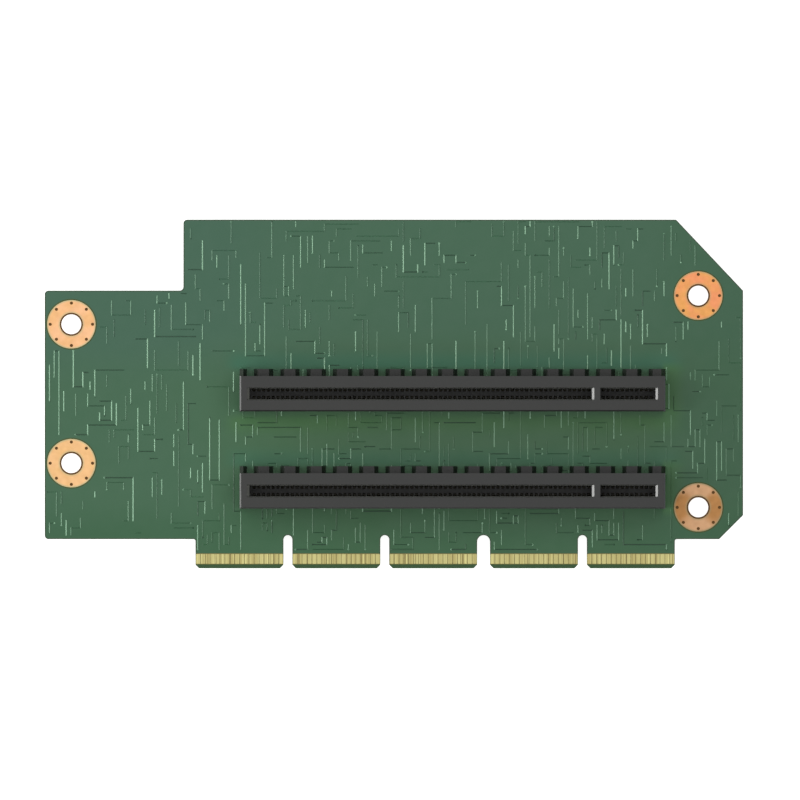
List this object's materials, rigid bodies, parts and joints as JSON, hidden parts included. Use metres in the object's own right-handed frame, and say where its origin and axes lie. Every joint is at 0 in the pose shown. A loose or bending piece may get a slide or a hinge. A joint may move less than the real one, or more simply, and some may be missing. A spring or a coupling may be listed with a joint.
{
  "type": "server riser card",
  "caption": "Flat circuit board with a gold-edged foot in separate blades, two long keyed card sockets side by side, and screw holes ringed with copper near its ends.",
  "frame": {"origin": "under the middle of the board's outline, level with the tips of the socket pegs that the loose card rests on", "axes": "+X along the card towards its two cut corners, +Y from the gold-edged blades to the top edge, +Z out of the sockets' mouths"},
  "size_m": [0.146, 0.0728, 0.0148],
  "materials": {
    "laminate": "satin green solder mask over glass-epoxy laminate",
    "copper": "bare satin copper",
    "gold": "hard gold plating",
    "socket_plastic": "fine matt black moulding",
    "contact_metal": "plated spring strip"
  },
  "bodies": {
    "root": {"circuit_board": "laminate", "upper_left_mounting_land": "copper", "lower_left_mounting_land": "copper", "upper_right_mounting_land": "copper", "lower_right_mounting_land": "copper", "front_fingers_1": "gold", "front_fingers_2": "gold", "front_fingers_3": "gold", "front_fingers_4": "gold", "front_fingers_5": "gold", "back_fingers_1": "gold", "back_fingers_2": "gold", "back_fingers_3": "gold", "back_fingers_4": "gold", "back_fingers_5": "gold", "upper_slot_housing": "socket_plastic", "upper_slot_data_contacts_a": "contact_metal", "upper_slot_data_contacts_b": "contact_metal", "upper_slot_power_contacts_a": "contact_metal", "upper_slot_power_contacts_b": "contact_metal", "lower_slot_housing": "socket_plastic", "lower_slot_data_contacts_a": "contact_metal", "lower_slot_data_contacts_b": "contact_metal", "lower_slot_power_contacts_a": "contact_metal", "lower_slot_power_contacts_b": "contact_metal"}
  },
  "joints": []
}
